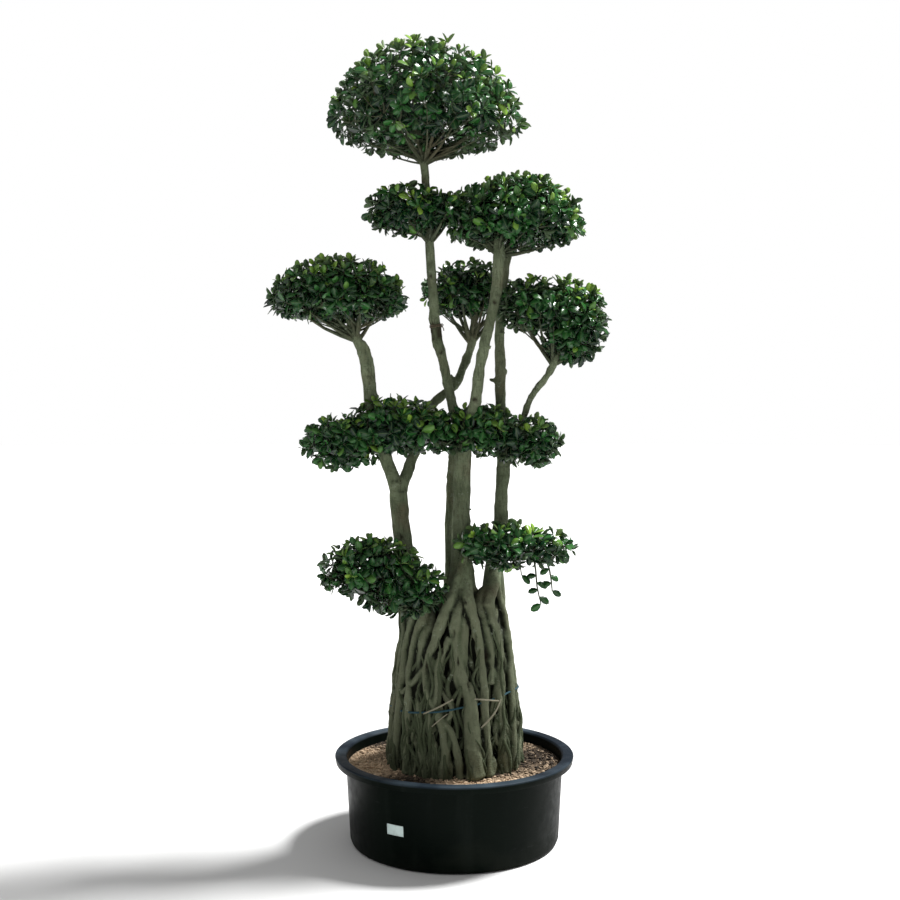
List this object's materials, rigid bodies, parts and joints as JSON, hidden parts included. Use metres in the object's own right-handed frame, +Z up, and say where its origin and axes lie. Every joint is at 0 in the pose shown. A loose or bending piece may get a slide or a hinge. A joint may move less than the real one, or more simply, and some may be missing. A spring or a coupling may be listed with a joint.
{
  "type": "chinese banyan bonsai",
  "caption": "Large cloud-pruned Chinese banyan bonsai: a clump of fused aerial roots, slender trunks and clipped heads of leaves, standing in a round black nursery tub.",
  "frame": {"origin": "middle of the tub's underside, on the ground", "axes": "+Z up along the tub's axis, -Y towards the viewer of the picture, +X to the viewer's right"},
  "size_m": [1.4957, 1, 3.3448],
  "materials": {
    "tub": "satin",
    "soil": "matte",
    "wood": "matte",
    "foliage": "satin",
    "tie": "matte",
    "twine": "matte",
    "label": "satin"
  },
  "bodies": {
    "root": {"tub": "tub", "soil": "soil", "wood": "wood", "root_tie": "tie", "trunk_twine": "twine", "label": "label", "foliage_crown": "foliage", "foliage_upper_left": "foliage", "foliage_upper_right": "foliage", "foliage_left": "foliage", "foliage_back": "foliage", "foliage_right": "foliage", "foliage_middle_left": "foliage", "foliage_middle_right": "foliage", "foliage_low_left": "foliage", "foliage_low_right": "foliage"}
  },
  "joints": []
}
